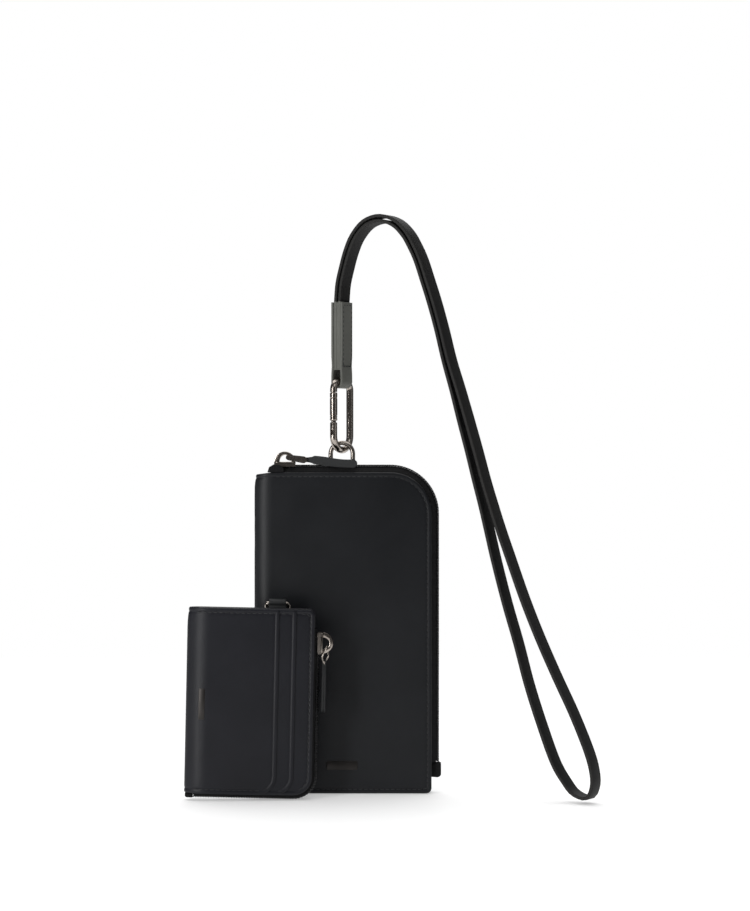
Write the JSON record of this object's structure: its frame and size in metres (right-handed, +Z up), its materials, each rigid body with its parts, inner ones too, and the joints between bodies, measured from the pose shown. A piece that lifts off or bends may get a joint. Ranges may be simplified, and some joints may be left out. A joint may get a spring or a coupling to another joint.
{
  "type": "neck pouch wallet",
  "caption": "Flat zipped phone pouch with a clip and a flat neck strap on its ring, and a zipped card case standing in front of it.",
  "frame": {"origin": "middle of the phone pouch's bottom edge, halfway through its thickness", "axes": "+X to the right, towards the zip side; +Y to the back; +Z up; seen from the front along +Y"},
  "size_m": [0.2268, 0.065, 0.3228],
  "materials": {
    "pouch_leather": "smooth, low sheen",
    "trim_leather": "smooth, matt",
    "sleeve_leather": "smooth, matt",
    "lining_fabric": "plain weave",
    "zip_tape": "woven tape",
    "zip_coil": "moulded coil",
    "strap_webbing": "grained, matt",
    "dark_nickel": "polished dark nickel",
    "dark_badge": "brushed, darkened"
  },
  "bodies": {
    "phone_pouch": {"pouch_shell": "pouch_leather", "pouch_lining_back": "lining_fabric", "pouch_lining_front": "lining_fabric", "pouch_inner_pocket": "trim_leather", "pouch_zip_tape_back": "zip_tape", "pouch_zip_coil_back": "zip_coil", "pouch_zip_start_back": "zip_tape", "pouch_zip_end_tab": "trim_leather", "pouch_badge": "dark_badge", "pouch_ring_loop": "trim_leather"},
    "front_flap": {"pouch_front_flap": "pouch_leather", "pouch_lining_flap": "lining_fabric", "pouch_zip_tape_front": "zip_tape", "pouch_zip_coil_front": "zip_coil", "pouch_zip_start_front": "zip_tape"},
    "zip_slider": {"pouch_slider_body": "dark_nickel", "pouch_slider_bridge": "dark_nickel"},
    "pull_link": {"pouch_pull_link": "dark_nickel", "pouch_pull_pin": "dark_nickel"},
    "pull_tab": {"pouch_pull_tab": "trim_leather"},
    "d_ring": {"pouch_d_ring": "dark_nickel"},
    "clip": {"clip_frame": "dark_nickel", "gate_pin": "dark_nickel", "gate_spring": "dark_nickel"},
    "gate": {"clip_gate": "dark_nickel"},
    "strap": {"strap_sleeve": "sleeve_leather", "neck_strap": "strap_webbing"},
    "card_case": {"card_shell": "pouch_leather", "card_slot_middle": "pouch_leather", "card_slot_outer": "pouch_leather", "card_lining_back": "lining_fabric", "card_lining_front": "lining_fabric", "card_zip_tape_back": "zip_tape", "card_zip_tape_front": "zip_tape", "card_zip_coil_back": "zip_coil", "card_zip_coil_front": "zip_coil", "card_zip_end_tab": "trim_leather", "card_badge": "dark_badge", "card_ring_loop": "dark_nickel"},
    "card_slider": {"card_slider_body": "dark_nickel", "card_slider_bridge": "dark_nickel"},
    "card_pull_link": {"card_pull_link": "dark_nickel", "card_pull_pin": "dark_nickel"},
    "card_pull_tab": {"card_pull_tab": "trim_leather"},
    "card_d_ring": {"card_d_ring": "dark_nickel"}
  },
  "joints": [
    {"name": "zip_slide", "type": "slide", "parent": "phone_pouch", "child": "zip_slider", "axis": [1, 0, 0], "range_m": [0, 0.052], "deforming": ["pouch_zip_coil_back", "pouch_zip_coil_front"]},
    {"name": "flap_opening", "type": "hinge", "parent": "phone_pouch", "child": "front_flap", "pos_m": [0.0495, -0.00525, 0.012], "axis": [0.4885, 0, -0.8726], "range_deg": [0, 14], "deforming": ["pouch_zip_coil_front", "pouch_zip_tape_front"]},
    {"name": "link_swing", "type": "hinge", "parent": "zip_slider", "child": "pull_link", "pos_m": [-0.0304, 0, 0.1873], "axis": [0, -1, 0], "range_deg": [0, 120]},
    {"name": "pull_swing", "type": "hinge", "parent": "pull_link", "child": "pull_tab", "pos_m": [-0.0221, 0, 0.186], "axis": [0, -1, 0], "range_deg": [0, 45]},
    {"name": "ring_tilt", "type": "hinge", "parent": "phone_pouch", "child": "d_ring", "pos_m": [-0.0008, 0.0099, 0.1834], "axis": [1, 0, 0], "range_deg": [-90, 0], "deforming": ["neck_strap"]},
    {"name": "clip_sway", "type": "hinge", "parent": "d_ring", "child": "clip", "pos_m": [-0.0008, 0.0099, 0.1893], "axis": [0, 1, 0], "range_deg": [-20, 20], "deforming": ["neck_strap"]},
    {"name": "gate_open", "type": "hinge", "parent": "clip", "child": "gate", "pos_m": [-0.00527, 0.00327, 0.2034], "axis": [-0.829, 0.5592, 0], "range_deg": [0, 22], "stiffness_Nm_per_rad": 0.05},
    {"name": "sleeve_swing", "type": "hinge", "parent": "clip", "child": "strap", "pos_m": [-0.0008, 0.0099, 0.2301], "axis": [-0.5592, -0.829, 0], "range_deg": [-10, 30], "deforming": ["neck_strap"]},
    {"name": "card_case_away", "type": "slide", "parent": "phone_pouch", "child": "card_case", "axis": [0, -1, 0], "range_m": [0, 0.1]},
    {"name": "card_zip_slide", "type": "slide", "parent": "card_case", "child": "card_slider", "axis": [-0.0209, 0, -0.9998], "range_m": [0, 0.066], "deforming": ["card_zip_coil_back", "card_zip_coil_front"]},
    {"name": "card_link_swing", "type": "hinge", "parent": "card_slider", "child": "card_pull_link", "pos_m": [-0.00843, -0.025, 0.08353], "axis": [0, -1, 0], "range_deg": [0, 120]},
    {"name": "card_pull_swing", "type": "hinge", "parent": "card_pull_link", "child": "card_pull_tab", "pos_m": [-0.00991, -0.025, 0.07526], "axis": [0, -1, 0], "range_deg": [0, 45]},
    {"name": "card_ring_tilt", "type": "hinge", "parent": "card_case", "child": "card_d_ring", "pos_m": [-0.03575, -0.0183, 0.10691], "axis": [0.9998, 0, -0.0209], "range_deg": [0, 170]}
  ]
}
